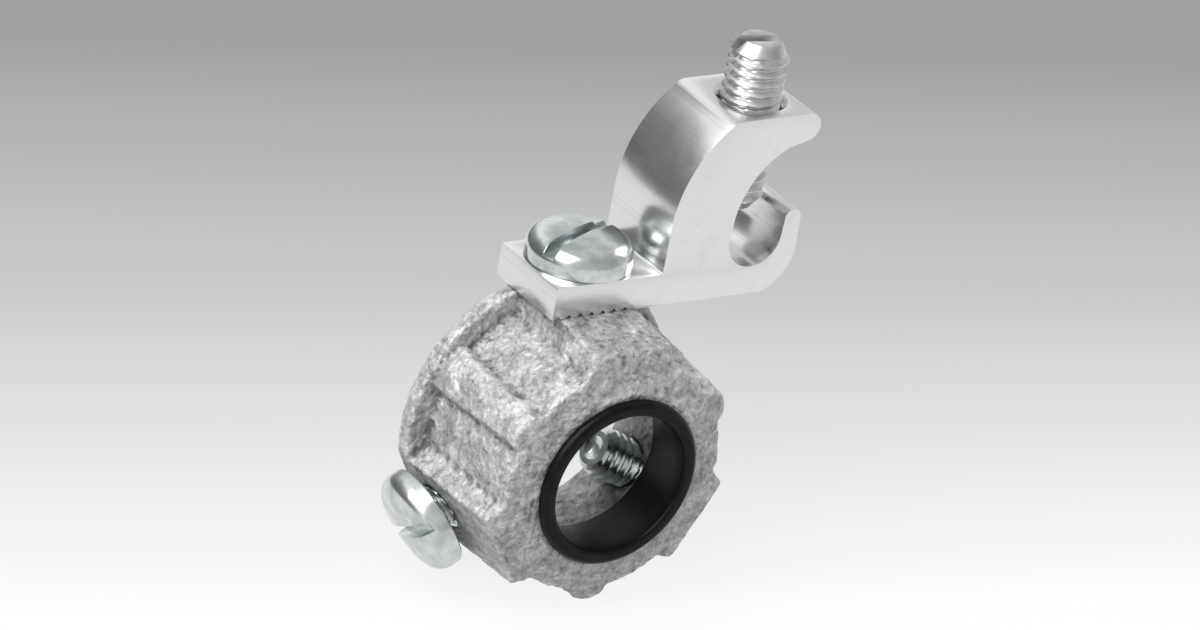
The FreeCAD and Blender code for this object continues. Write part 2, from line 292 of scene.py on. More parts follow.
class StageSettings(bpy.types.PropertyGroup):
    near: colour("Near floor", "Colour of the floor in front of the bushing", (1.0, 1.0, 1.0))
    middle: colour("Middle floor", "Colour of the floor between near and far", (0.565, 0.57, 0.578))
    far: colour("Far floor", "Colour of the floor behind the bushing", (0.295, 0.30, 0.312))
    key: power("Key light", "Power of the large light", 5.7)
    top: power("Top light", "Power of the overhead light", 1.6)
    side: power("Side light", "Power of the light from the right", 3.2)
    sky: FloatProperty(name="Room light", description="Strength of the light from all round", default=0.38)


# Meshes.

def place_object(name, data):
    """A new object at the origin with that mesh, light or camera."""
    piece = bpy.data.objects.new(name, data)
    bpy.context.scene.collection.objects.link(piece)
    return piece


def kept_mesh(bm, name):
    """A mesh from a bmesh."""
    mesh = bpy.data.meshes.new(name)
    bm.to_mesh(mesh)
    bm.free()
    return mesh


def closed_mesh(bm, name):
    """A mesh from a closed bmesh, with its normals pointing outwards."""
    bmesh.ops.recalc_face_normals(bm, faces=bm.faces)
    return kept_mesh(bm, name)


def bake_modifiers(piece):
    """Makes an object's mesh plain and removes its modifiers."""
    depsgraph = bpy.context.evaluated_depsgraph_get()
    mesh = bpy.data.meshes.new_from_object(
        piece.evaluated_get(depsgraph), preserve_all_data_layers=True, depsgraph=depsgraph)
    piece.modifiers.clear()
    piece.data = mesh


def arc_centre(start, middle, end):
    """Centre of the circle through three points."""
    (x1, y1), (x2, y2), (x3, y3) = start, middle, end
    lean = 2 * (x1 * (y2 - y3) + x2 * (y3 - y1) + x3 * (y1 - y2))
    square1 = x1 * x1 + y1 * y1
    square2 = x2 * x2 + y2 * y2
    square3 = x3 * x3 + y3 * y3
    x = (square1 * (y2 - y3) + square2 * (y3 - y1) + square3 * (y1 - y2)) / lean
    y = (square1 * (x3 - x2) + square2 * (x1 - x3) + square3 * (x2 - x1)) / lean
    return x, y


def arc_points(start, middle, end, steps):
    """Points of the arc from start over middle to end, without the start."""
    x, y = arc_centre(start, middle, end)
    first, over, last = [math.atan2(point[1] - y, point[0] - x) for point in (start, middle, end)]
    sweep = (last - first) % math.tau
    if (over - first) % math.tau > sweep:
        sweep -= math.tau
    radius = math.hypot(start[0] - x, start[1] - y)
    turns = [first + sweep * i / steps for i in range(1, steps + 1)]
    return [(x + radius * math.cos(t), y + radius * math.sin(t)) for t in turns]


def drawn(outline, steps):
    """All points of an outline in which a pair of points stands for an arc of that many steps."""
    points = [outline[0]]
    for step in outline[1:]:
        if isinstance(step[0], tuple):
            points += arc_points(points[-1], step[0], step[1], steps)
        else:
            points.append(step)
    return points


def turned_ring(bm, radius, height, columns):
    """One ring of a turned form, or its pole where the radius is nothing."""
    if radius < ON_AXIS:
        return [bm.verts.new((0, 0, height))]
    turns = [math.tau * i / columns for i in range(columns)]
    return [bm.verts.new((radius * math.cos(t), radius * math.sin(t), height)) for t in turns]


def join_rings(bm, lower, upper, columns):
    """Faces between two rings of a turned form."""
    for i in range(columns):
        j = (i + 1) % columns
        if len(lower) == 1:
            bm.faces.new((lower[0], upper[j], upper[i]))
        elif len(upper) == 1:
            bm.faces.new((lower[i], lower[j], upper[0]))
        else:
            bm.faces.new((lower[i], lower[j], upper[j], upper[i]))


def turned_form(name, profile, columns):
    """A closed mesh turned about Z from (radius, height) points, which end on the axis or meet."""
    bm = bmesh.new()
    rings = [turned_ring(bm, radius, height, columns) for radius, height in profile]
    for lower, upper in zip(rings, rings[1:]):
        join_rings(bm, lower, upper, columns)
    if len(rings[0]) > 1:
        join_rings(bm, rings[-1], rings[0], columns)
    return closed_mesh(bm, name)


def even_rows(low, high, step):
    """Heights from low to high in even steps."""
    count = max(1, round((high - low) / step))
    return [low + (high - low) * i / count for i in range(count + 1)]


def cut_away(piece, cutters):
    """Cuts meshes out of a piece."""
    tools = [place_object("cutter", mesh) for mesh in cutters]
    for tool in tools:
        cut = piece.modifiers.new("cut", "BOOLEAN")
        cut.operation = "DIFFERENCE"
        cut.solver = "EXACT"
        cut.object = tool
    bake_modifiers(piece)
    for tool in tools:
        bpy.data.objects.remove(tool)


def cut_slot(piece, settings, top, radius, degrees):
    """Cuts a screwdriver slot into the top of a screw of that radius that stands on Z."""
    low = top - settings.slot_depth
    high = top + OVERCUT * MM
    bm = bmesh.new()
    bmesh.ops.create_cube(bm, size=1)
    bmesh.ops.scale(bm, verts=bm.verts, vec=(4 * radius, settings.slot_width, high - low))
    bmesh.ops.translate(bm, verts=bm.verts, vec=(0, 0, (low + high) / 2))
    turn = Matrix.Rotation(math.radians(degrees), 3, "Z")
    bmesh.ops.rotate(bm, verts=bm.verts, cent=(0, 0, 0), matrix=turn)
    cut_away(piece, [closed_mesh(bm, "slot")])


def break_edges(piece, width, degrees, above):
    """Rounds the edges of a piece that are sharper than that angle and lie above a height."""
    bm = bmesh.new()
    bm.from_mesh(piece.data)
    bmesh.ops.remove_doubles(bm, verts=bm.verts, dist=MERGE)
    sharp = [
        e for e in bm.edges
        if len(e.link_faces) == 2
        and e.calc_face_angle() > math.radians(degrees)
        and min(v.co.z for v in e.verts) > above
    ]
    bmesh.ops.bevel(
        bm, geom=sharp, offset=width, offset_type="OFFSET", segments=2, profile=0.5,
        affect="EDGES", clamp_overlap=True)
    bm.to_mesh(piece.data)
    bm.free()


def smooth_faces(piece, degrees):
    """Smooth shading, with creases where faces meet at more than that angle."""
    piece.data.shade_smooth()
    piece.data.set_sharp_from_angle(angle=math.radians(degrees))


# Node helpers.

def feed(tree, socket, value):
    """Sets a socket to a number or colour, or links it to another socket."""
    if isinstance(value, bpy.types.NodeSocket):
        tree.links.new(value, socket)
    else:
        socket.default_value = value


def arithmetic(tree, operation, *values):
    """One Math node."""
    node = tree.nodes.new("ShaderNodeMath")
    node.operation = operation
    for socket, value in zip(node.inputs, values):
        feed(tree, socket, value)
    return node.outputs[0]


def vector_math(tree, operation, first, second):
    """One Vector Math node of two vectors."""
    node = tree.nodes.new("ShaderNodeVectorMath")
    node.operation = operation
    feed(tree, node.inputs[0], first)
    feed(tree, node.inputs[1], second)
    return node.outputs


def ranged(tree, value, low, high, to_low, to_high):
    """One clamped Map Range node."""
    node = tree.nodes.new("ShaderNodeMapRange")
    feed(tree, node.inputs["Value"], value)
    feed(tree, node.inputs["From Min"], low)
    feed(tree, node.inputs["From Max"], high)
    feed(tree, node.inputs["To Min"], to_low)
    feed(tree, node.inputs["To Max"], to_high)
    return node.outputs["Result"]


def new_tree(name, sizes):
    """A Geometry Nodes tree with a geometry, its named sizes and a material as inputs."""
    tree = bpy.data.node_groups.new(name, "GeometryNodeTree")
    tree.interface.new_socket("Geometry", in_out="INPUT", socket_type="NodeSocketGeometry")
    for size in sizes:
        tree.interface.new_socket(size, in_out="INPUT", socket_type="NodeSocketFloat")
    tree.interface.new_socket("Material", in_out="INPUT", socket_type="NodeSocketMaterial")
    tree.interface.new_socket("Geometry", in_out="OUTPUT", socket_type="NodeSocketGeometry")
    return tree, tree.nodes.new("NodeGroupInput").outputs


def close_tree(tree, inputs, geometry):
    """Ends a tree in Realize Instances and Set Material."""
    realize = tree.nodes.new("GeometryNodeRealizeInstances")
    finish = tree.nodes.new("GeometryNodeSetMaterial")
    output = tree.nodes.new("NodeGroupOutput")
    feed(tree, realize.inputs["Geometry"], geometry)
    feed(tree, finish.inputs["Geometry"], realize.outputs["Geometry"])
    feed(tree, finish.inputs["Material"], inputs["Material"])
    feed(tree, output.inputs["Geometry"], finish.outputs["Geometry"])


def run_tree(piece, tree, values):
    """Runs a tree on a piece and keeps the result as its plain mesh."""
    modifier = piece.modifiers.new(tree.name, "NODES")
    modifier.node_group = tree
    for item in tree.interface.items_tree:
        if item.in_out == "INPUT" and item.name in values:
            modifier[item.identifier] = values[item.name]
    bake_modifiers(piece)


def moved(tree, geometry, way, vector):
    """The geometry with the Position or the Offset of its points given."""
    move = tree.nodes.new("GeometryNodeSetPosition")
    feed(tree, move.inputs["Geometry"], geometry)
    feed(tree, move.inputs[way], vector)
    return move.outputs["Geometry"]


def groove_depth(tree, inputs, x, y, z):
    """How deep a right-hand thread is cut at a place. It runs out towards the top."""
    turn = arithmetic(tree, "DIVIDE", arithmetic(tree, "ARCTAN2", y, x), math.tau)
    rise = arithmetic(tree, "DIVIDE", z, inputs["Pitch"])
    phase = arithmetic(tree, "FRACT", arithmetic(tree, "SUBTRACT", rise, turn))
    ridge = arithmetic(tree, "ABSOLUTE", arithmetic(tree, "MULTIPLY_ADD", phase, 2.0, -1.0))
    groove = ranged(tree, ridge, *FLANK, 1.0, 0.0)
    down = arithmetic(tree, "SUBTRACT", inputs["Top"], z)
    run_out = ranged(tree, arithmetic(tree, "DIVIDE", down, inputs["Pitch"]), *RUN_OUT, 0.0, 1.0)
    return arithmetic(tree, "MULTIPLY", arithmetic(tree, "MULTIPLY", groove, run_out), inputs["Depth"])


def thread_tree():
    """Cuts a right-hand thread into a turned form that stands on Z."""
    tree, inputs = new_tree("screw_thread", ("Pitch", "Depth", "Radius", "Top"))
    position = tree.nodes.new("GeometryNodeInputPosition")
    split = tree.nodes.new("ShaderNodeSeparateXYZ")
    feed(tree, split.inputs[0], position.outputs[0])
    x, y, z = split.outputs
    y_square = arithmetic(tree, "MULTIPLY", y, y)
    reach = arithmetic(tree, "SQRT", arithmetic(tree, "MULTIPLY_ADD", x, x, y_square))
    wall = arithmetic(tree, "SUBTRACT", inputs["Radius"], groove_depth(tree, inputs, x, y, z))
    over = arithmetic(tree, "MAXIMUM", arithmetic(tree, "SUBTRACT", reach, wall), 0.0)
    on_shank = arithmetic(tree, "LESS_THAN", z, inputs["Top"])
    kept = arithmetic(tree, "SUBTRACT", reach, arithmetic(tree, "MULTIPLY", over, on_shank))
    scale = arithmetic(tree, "DIVIDE", kept, arithmetic(tree, "MAXIMUM", reach, ON_AXIS))
    join = tree.nodes.new("ShaderNodeCombineXYZ")
    feed(tree, join.inputs[0], arithmetic(tree, "MULTIPLY", x, scale))
    feed(tree, join.inputs[1], arithmetic(tree, "MULTIPLY", y, scale))
    feed(tree, join.inputs[2], z)
    close_tree(tree, inputs, moved(tree, inputs["Geometry"], "Position", join.outputs[0]))
    return tree


def lifted(tree, geometry, height):
    """The geometry moved along its normals."""
    normal = tree.nodes.new("GeometryNodeInputNormal")
    offset = tree.nodes.new("ShaderNodeVectorMath")
    offset.operation = "SCALE"
    feed(tree, offset.inputs["Vector"], normal.outputs[0])
    feed(tree, offset.inputs["Scale"], height)
    return moved(tree, geometry, "Offset", offset.outputs[0])


def in_use(sockets):
    """The first socket that a node uses for its type of data."""
    return [socket for socket in sockets if socket.enabled][0]


def depth_of_hollows(tree):
    """How far a point lies below the surface around it, in metres."""
    position = tree.nodes.new("GeometryNodeInputPosition")
    normal = tree.nodes.new("GeometryNodeInputNormal")
    around = tree.nodes.new("GeometryNodeBlurAttribute")
    around.data_type = "FLOAT_VECTOR"
    feed(tree, in_use(around.inputs), position.outputs[0])
    feed(tree, around.inputs["Iterations"], HOLLOW_STEPS)
    below = vector_math(tree, "SUBTRACT", in_use(around.outputs), position.outputs[0])
    return vector_math(tree, "DOT_PRODUCT", below["Vector"], normal.outputs[0])["Value"]


def cast_skin_tree():
    """Lifts and sinks a surface as far as its grain attribute allows, and notes how hollow it became."""
    tree, inputs = new_tree("cast_skin", ("Grain Height", "Grain Size", "Seed"))
    lumps = tree.nodes.new("ShaderNodeTexNoise")
    lumps.noise_dimensions = "4D"
    feed(tree, lumps.inputs["W"], inputs["Seed"])
    feed(tree, lumps.inputs["Scale"], arithmetic(tree, "DIVIDE", 1.0, inputs["Grain Size"]))
    feed(tree, lumps.inputs["Detail"], 3.0)
    feed(tree, lumps.inputs["Roughness"], 0.6)
    grain = tree.nodes.new("GeometryNodeInputNamedAttribute")
    grain.data_type = "FLOAT"
    feed(tree, grain.inputs["Name"], "grain")
    lift = ranged(tree, lumps.outputs["Fac"], 0.28, 0.72, -1.0, 1.0)
    lift = arithmetic(tree, "MULTIPLY", lift, inputs["Grain Height"])
    lift = arithmetic(tree, "MULTIPLY", lift, grain.outputs["Attribute"])
    note = tree.nodes.new("GeometryNodeStoreNamedAttribute")
    note.data_type = "FLOAT"
    note.domain = "POINT"
    feed(tree, note.inputs["Geometry"], lifted(tree, inputs["Geometry"], lift))
    feed(tree, note.inputs["Name"], "hollow")
    feed(tree, note.inputs["Value"], arithmetic(tree, "DIVIDE", depth_of_hollows(tree), HOLLOW_UNIT * MM))
    close_tree(tree, inputs, note.outputs["Geometry"])
    return tree


# Materials. Sizes of noise and depths of bumps are in millimetres.

def new_material(name):
    """A material with its tree, shader and object coordinates."""
    material = bpy.data.materials.new(name)
    material.use_nodes = True
    tree = material.node_tree
    coordinates = tree.nodes.new("ShaderNodeTexCoord")
    return material, tree, tree.nodes["Principled BSDF"], coordinates.outputs["Object"]


def noise(tree, coordinates, size, detail, roughness=0.6):
    """Noise whose lumps have that size along X, Y and Z."""
    mapping = tree.nodes.new("ShaderNodeMapping")
    mapping.inputs["Scale"].default_value = [1 / (s * MM) for s in size]
    feed(tree, mapping.inputs["Vector"], coordinates)
    texture = tree.nodes.new("ShaderNodeTexNoise")
    feed(tree, texture.inputs["Vector"], mapping.outputs[0])
    texture.inputs["Scale"].default_value = 1.0
    texture.inputs["Detail"].default_value = detail
    texture.inputs["Roughness"].default_value = roughness
    return texture.outputs["Fac"]


def cube(size):
    """The same size along X, Y and Z."""
    return (size, size, size)


def ramp(tree, value, stops):
    """Colours along a value."""
    node = tree.nodes.new("ShaderNodeValToRGB")
    elements = node.color_ramp.elements
    while len(elements) < len(stops):
        elements.new(0.5)
    for element, (position, shade) in zip(elements, stops):
        element.position = position
        element.color = (*shade, 1.0)
    feed(tree, node.inputs["Fac"], value)
    return node.outputs["Color"]


def bump(tree, height, strength, depth, under=None):
    """A Bump node, on top of another where one is given."""
    node = tree.nodes.new("ShaderNodeBump")
    node.inputs["Strength"].default_value = strength
    node.inputs["Distance"].default_value = depth * MM
    feed(tree, node.inputs["Height"], height)
    if under is not None:
        feed(tree, node.inputs["Normal"], under)
    return node.outputs["Normal"]


def noted(tree, name):
    """A number that the mesh holds at each point."""
    attribute = tree.nodes.new("ShaderNodeAttribute")
    attribute.attribute_name = name
    return attribute.outputs["Fac"]


def dress(tree, shader, shade, roughness, metallic, normal):
    """Gives a shader its colour, roughness, share of metal and normal."""
    feed(tree, shader.inputs["Base Color"], shade)
    feed(tree, shader.inputs["Roughness"], roughness)
    feed(tree, shader.inputs["Metallic"], metallic)
    feed(tree, shader.inputs["Normal"], normal)


def galvanised_skin(settings):
    """Hot-dipped zinc on a rough casting, crinkled, with painted highlight on ridges and painted shade in
    hollows and under the lug.
    """
    material, tree, shader, place = new_material("galvanised_skin")
    hollow = noted(tree, "hollow")
    crystals = noise(tree, place, cube(0.5), 3.0, 0.65)
    crumples = noise(tree, place, cube(1.5), 2.5, 0.5)
    clouds = noise(tree, place, cube(2.6), 4.0, 0.65)
    pits = noise(tree, place, cube(0.9), 3.0)
    tone = arithmetic(tree, "MULTIPLY_ADD", crystals, 0.45, arithmetic(tree, "MULTIPLY", clouds, 0.55))
    pits_and_painted_light = (
        # Painted highlight: convex ridges of the skin are made lighter.
        (hollow, -2.5, 0.0, 0.07, 0.0),
        # Painted shade: creases and hollows of the skin are made darker.
        (hollow, 0.6, 3.0, 0.0, -0.3),
        (pits, 0.55, 0.7, 0.0, -0.14),
        # Painted shade: the smooth top pad under the lug, the holes and the throat's seat are made darker.
        (noted(tree, "grain"), 0.4, 0.55, -0.1, 0.0),
    )
    for change in pits_and_painted_light:
        tone = arithmetic(tree, "ADD", tone, ranged(tree, *change))
    shade = ramp(tree, tone, ((0.28, settings.dark), (0.50, settings.middle), (0.66, settings.light)))
    roughness = ranged(tree, crystals, 0.3, 0.7, 0.6, 0.4)
    lumps = bump(tree, crumples, 1.0, 0.9)
    dress(tree, shader, shade, roughness, 0.22, bump(tree, crystals, 0.6, 0.2, lumps))
    return material


def moulded_plastic(settings):
    """Satin black plastic with faint scuffs."""
    material, tree, shader, place = new_material("moulded_plastic")
    scuffs = noise(tree, place, cube(1.6), 4.0)
    pores = noise(tree, place, cube(0.22), 2.0)
    shade = ramp(tree, scuffs, ((0.42, settings.plastic), (0.72, settings.worn)))
    roughness = ranged(tree, scuffs, 0.35, 0.65, 0.28, 0.4)
    dress(tree, shader, shade, roughness, 0.0, bump(tree, pores, 0.1, 0.03))
    shader.inputs["Specular IOR Level"].default_value = 0.15
    return material


def drawn_aluminium(settings):
    """Sides of the extrusion, with fine lines along the way it was drawn."""
    material, tree, shader, place = new_material("drawn_aluminium")
    lines = noise(tree, place, (0.16, 30, 0.16), 3.0)
    clouds = noise(tree, place, cube(3.0), 3.0)
    shade = ramp(tree, lines, ((0.3, settings.streak), (0.56, settings.side)))
    roughness = ranged(tree, clouds, 0.35, 0.65, 0.17, 0.24)
    dress(tree, shader, shade, roughness, 1.0, bump(tree, lines, 0.03, 0.03))
    return material


def sawn_aluminium(settings):
    """Sawn ends of the extrusion, matt, with faint blade marks."""
    material, tree, shader, place = new_material("sawn_aluminium")
    marks = noise(tree, place, (6, 6, 0.14), 2.0)
    clouds = noise(tree, place, cube(2.2), 4.0)
    tone = arithmetic(tree, "MULTIPLY_ADD", marks, 0.25, arithmetic(tree, "MULTIPLY", clouds, 0.75))
    shade = ramp(tree, tone, ((0.22, settings.streak), (0.5, settings.sawn)))
    roughness = ranged(tree, clouds, 0.35, 0.65, 0.27, 0.33)
    dress(tree, shader, shade, roughness, 1.0, bump(tree, marks, 0.02, 0.03))
    return material


def zinc_plating(settings):
    """Bright zinc plating with a bluish film."""
    material, tree, shader, place = new_material("zinc_plating")
    film = noise(tree, place, cube(2.4), 4.0)
    grit = noise(tree, place, cube(0.25), 2.0)
    shade = ramp(tree, film, ((0.36, settings.haze), (0.6, settings.plating)))
    roughness = ranged(tree, film, 0.3, 0.7, 0.23, 0.15)
    dress(tree, shader, shade, roughness, 1.0, bump(tree, grit, 0.06, 0.03))
    return material


def bright_steel(settings):
    """Bright turned steel with thin oil marks."""
    material, tree, shader, place = new_material("bright_steel")
    stains = noise(tree, place, cube(1.8), 4.0)
    turning = noise(tree, place, (4, 4, 0.12), 2.0)
    shade = ramp(tree, stains, ((0.34, settings.oil), (0.56, settings.steel)))
    roughness = ranged(tree, stains, 0.3, 0.7, 0.34, 0.27)
    dress(tree, shader, shade, roughness, 1.0, bump(tree, turning, 0.05, 0.02))
    return material


def floor_paint(tree, place, rays, settings):
    """The floor's pale tones for the camera, and for metal its dark edge behind the bushing's left side."""
    away = vector_math(tree, "DOT_PRODUCT", place, AWAY)["Value"]
    depth = arithmetic(tree, "MULTIPLY", ranged(tree, away, *FADE, 0.0, 1.0), rays["Is Camera Ray"])
    aside = vector_math(tree, "DOT_PRODUCT", place, FLOOR_SIDE)["Value"]
    edge = ranged(tree, aside, *FLOOR_EDGE, *FLOOR_SHADE)
    edge = arithmetic(tree, "MULTIPLY", edge, rays["Is Glossy Ray"])
    paint = tree.nodes.new("ShaderNodeEmission")
    tones = ((0.0, settings.near), (0.5, settings.middle), (1.0, settings.far))
    feed(tree, paint.inputs["Color"], ramp(tree, depth, tones))
    feed(tree, paint.inputs["Strength"], arithmetic(tree, "SUBTRACT", 1.0, edge))
    return paint.outputs["Emission"]


def plain_floor(settings):
    """Matt floor that turns from white to grey behind the bushing, where the camera or metal sees it."""
    material, tree, shader, place = new_material("plain_floor")
    rays = tree.nodes.new("ShaderNodeLightPath").outputs
    feed(tree, shader.inputs["Base Color"], ramp(tree, rays["Is Camera Ray"], FLOOR_COLOURS))
    shader.inputs["Roughness"].default_value = 0.9
    shader.inputs["Specular IOR Level"].default_value = 0.1
    seen = arithmetic(tree, "ADD", rays["Is Camera Ray"], rays["Is Glossy Ray"])
    seen = arithmetic(tree, "ADD", seen, rays["Is Transmission Ray"])
    mix = tree.nodes.new("ShaderNodeMixShader")
    feed(tree, mix.inputs["Fac"], arithmetic(tree, "MULTIPLY", seen, PAINT_SHARE))
    feed(tree, mix.inputs[1], shader.outputs["BSDF"])
    feed(tree, mix.inputs[2], floor_paint(tree, place, rays, settings))
    feed(tree, tree.nodes["Material Output"].inputs["Surface"], mix.outputs["Shader"])
    return material


# Pieces.

def merged_copy(node):
    """A copy of a CAD node's mesh with its loose triangles joined."""
    bm = bmesh.new()
    bm.from_mesh(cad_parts[node].data)
    bmesh.ops.remove_doubles(bm, verts=bm.verts, dist=MERGE)
    return kept_mesh(bm, node + "_copy")


def finish_piece(piece, node, body):
    """Puts a piece in place of a CAD node."""
    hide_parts(node)
    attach(piece, body)


def pad_axis(angle):
    """Direction out of the pad at that angle from the top, as seen from the front."""
    turn = math.radians(angle)
    return Vector((-math.sin(turn), 0.0, math.cos(turn)))


def pad_grain_and_shade(point, angle, depth, face):
    """How rough the casting is where a point lies near a pad: smooth in its hole and under the lug. Low
    values also mark painted shade.
    """
    out = pad_axis(angle)
    height = point.dot(out)
    aside = point - out * height - Vector((0, depth * MM, 0))
    if height > HOLE_START * MM and aside.length < HOLE_SKIN * MM:
        return 0.0
    if angle == 0 and height > LUG_SEAT * MM:
        return 0.0
    beside = math.hypot(aside.x, aside.z) / MM - PAD_HALF_WIDTH
    below = PAD_SKIN - height / MM
    return min(1.0, max(face, beside, below))


def cast_grain_and_shade(point):
    """How rough the casting is at a point, from 0 in its fitted holes to 1 on the open skin. Below 0.55 it
    also marks painted shade.
    """
    if math.hypot(point.x, point.z) < LINER_SEAT * MM and point.y < SHOULDER_BACK * MM:
        return 0.0
    return min(pad_grain_and_shade(point, *pad) for pad in PADS)


def even_mesh(piece, voxel):
    """Gives a piece a mesh of even steps, with its edges a little softened."""
    even = piece.modifiers.new("even", "REMESH")
    even.mode = "VOXEL"
    even.voxel_size = voxel
    soft = piece.modifiers.new("soft", "SMOOTH")
    soft.factor = 0.5
    soft.iterations = 3
    bake_modifiers(piece)


class BUSHING_OT_casting(bpy.types.Operator):
    """Cast body with a rough galvanised skin"""
    bl_idname = "bushing.casting"
    bl_label = "Casting"

    def execute(self, context):
        settings = context.scene.bushing_casting
        piece = place_object("cast_shell", merged_copy("bushing_body"))
        even_mesh(piece, settings.voxel)
        grain = piece.data.attributes.new("grain", "FLOAT", "POINT")
        grain.data.foreach_set("value", [cast_grain_and_shade(v.co) for v in piece.data.vertices])
        run_tree(piece, cast_skin_tree(), {
            "Grain Height": settings.grain_height,
            "Grain Size": settings.grain_size,
            "Seed": float(settings.seed),
            "Material": galvanised_skin(settings),
        })
        piece.data.shade_smooth()
        finish_piece(piece, "bushing_body", "bushing")
        return {"FINISHED"}


def liner_profile(settings):
    """Section of the throat as (radius, distance in front of the casting) points."""
    rim, height = settings.rim_radius, settings.rim_height
    lip, sleeve, inner = settings.lip_radius, settings.sleeve_radius, settings.bore_radius
    end = -LINER_DEPTH * MM
    return drawn((
        (sleeve, end),
        (sleeve, 0.0),
        (rim, 0.0),
        (rim, 0.35 * height),
        ((rim - 0.22 * MM, 0.82 * height), (rim - 0.75 * MM, height)),
        (lip + 0.45 * MM, height),
        ((lip + 0.12 * MM, 0.86 * height), (lip, 0.55 * height)),
        (lip, -0.6 * MM),
        ((lip + 0.15 * MM, -3.0 * MM), (inner, end)),
    ), steps=8)


class BUSHING_OT_liner(bpy.types.Operator):
    """Insulating throat with its rounded rim"""
    bl_idname = "bushing.liner"
    bl_label = "Throat liner"

    def execute(self, context):
        settings = context.scene.bushing_liner
        mesh = turned_form("throat_ring", liner_profile(settings), columns=160)
        forwards = Matrix.Rotation(math.radians(90), 4, "X")
        mesh.transform(Matrix.Translation((0, FRONT_FACE_Y * MM, 0)) @ forwards)
        piece = place_object("throat_ring", mesh)
        piece.data.materials.append(moulded_plastic(settings))
        smooth_faces(piece, degrees=40)
        finish_piece(piece, "throat_liner", "bushing")
        return {"FINISHED"}


def lug_points(settings):
    """The lug's outline with the grooves under its foot, in metres of the frame."""
    points = [(x * MM, z * MM) for x, z in drawn(LUG_OUTLINE, steps=18)]
    pitch, depth = settings.tooth_pitch, settings.tooth_depth
    for i in reversed(range(GROOVES)):
        x = FIRST_GROOVE * MM + i * pitch
        points += [(x + depth, 0.0), (x, depth), (x - depth, 0.0)]
    return [(x + LUG_CORNER_X * MM, z + LUG_BASE_Z * MM) for x, z in points]


def lug_bar(settings):
    """The outline drawn along the conduit."""
    bm = bmesh.new()
    outline = lug_points(settings)
    front = LUG_AXIS_Y * MM - settings.width / 2
    ends = [[bm.verts.new((x, y, z)) for x, z in outline] for y in (front, front + settings.width)]
    for end in ends:
        bm.faces.new(end)
    for i in range(len(outline)):
        j = (i + 1) % len(outline)
        bm.faces.new((ends[0][i], ends[0][j], ends[1][j], ends[1][i]))
    return closed_mesh(bm, "lug_bar")


def hole_cutter(profile, x):
    """A turned cutter that stands on the lug at X."""
    mesh = turned_form("hole", [(radius * MM, z * MM) for radius, z in profile], columns=96)
    mesh.transform(Matrix.Translation((x * MM, LUG_AXIS_Y * MM, LUG_BASE_Z * MM)))
    return mesh


class BUSHING_OT_lug(bpy.types.Operator):
    """Extruded lay-in lug with its holes and grooved foot"""
    bl_idname = "bushing.lug"
    bl_label = "Lay-in lug"

    def execute(self, context):
        settings = context.scene.bushing_lug
        piece = place_object("lug_bar", lug_bar(settings))
        cut_away(piece, [hole_cutter(SCREW_HOLE, 0), hole_cutter(CLAMP_HOLE, CLAMP_X)])
        break_edges(piece, settings.edge, degrees=28, above=0.0)
        piece.data.materials.clear()
        piece.data.materials.append(drawn_aluminium(settings))
        piece.data.materials.append(sawn_aluminium(settings))
        for face in piece.data.polygons:
            sawn = abs(face.normal.y) > 0.95
            face.material_index = int(sawn)
        smooth_faces(piece, degrees=26)
        finish_piece(piece, "lay_in_lug", "lug")
        return {"FINISHED"}


def pan_profile(settings, shank):
    """Section of a pan-head screw whose head sits on the origin."""
    radius, head = settings.radius, settings.head_radius
    rim, top = settings.head_rim, settings.head_height
    chamfer = POINT_CHAMFER * MM
    row = settings.pitch / ROWS_PER_TURN
    cup = [(reach * MM, z * MM - shank) for reach, z in POINT_CUP]
    nose = [(radius - chamfer + step, step - shank) for step in even_rows(0.0, chamfer, row)]
    stem = [(radius, z) for z in even_rows(chamfer - shank + row, -NECK * MM, row)]
    crown = drawn((
        (head - HEAD_CHAMFER * MM, 0.0),
        (head, HEAD_CHAMFER * MM),
        (head, rim),
        ((0.915 * head, 0.7 * top), (0.69 * head, 0.9 * top)),
        ((0.35 * head, 0.975 * top), (0.0, top)),
    ), steps=12)
    return cup + nose + stem + crown


def pan_screw(settings, name, shank, slot_degrees):
    """A slotted pan-head screw on Z, with its thread."""
    piece = place_object(name, turned_form(name, pan_profile(settings, shank), SCREW_COLUMNS))
    run_tree(piece, thread_tree(), {
        "Pitch": settings.pitch,
        "Depth": settings.depth,
        "Radius": settings.radius,
        "Top": 0.0,
        "Material": zinc_plating(settings),
    })
    cut_slot(piece, settings, settings.head_height, settings.head_radius, slot_degrees)
    break_edges(piece, settings.edge, degrees=40, above=settings.head_rim / 2)
    return piece


class BUSHING_OT_pan_screws(bpy.types.Operator):
    """The lug's screw and the two set screws"""
    bl_idname = "bushing.pan_screws"
    bl_label = "Pan-head screws"

    def execute(self, context):
        settings = context.scene.bushing_pan_screws
        height = (LUG_BASE_Z + FOOT_TOP + HEAD_GAP) * MM
        lug = pan_screw(settings, "pan_screw_lug", LUG_SCREW_SHANK * MM, LUG_SCREW_SLOT)
        lug.data.transform(Matrix.Translation((0, LUG_AXIS_Y * MM, height)))
        smooth_faces(lug, SCREW_CREASE)
        finish_piece(lug, "lug_screw", "lug_screw")
        for (angle, depth, _), side in zip(PADS[1:], ("left", "right")):
            screw = pan_screw(settings, "pan_screw_" + side, SET_SCREW_SHANK * MM, SET_SCREW_SLOT)
            upright = Matrix.Translation((0, depth * MM, SET_SCREW_REACH * MM))
            screw.data.transform(Matrix.Rotation(-math.radians(angle), 4, "Y") @ upright)
            smooth_faces(screw, SCREW_CREASE)
            finish_piece(screw, "set_screw_" + side, "set_screw_" + side)
        return {"FINISHED"}


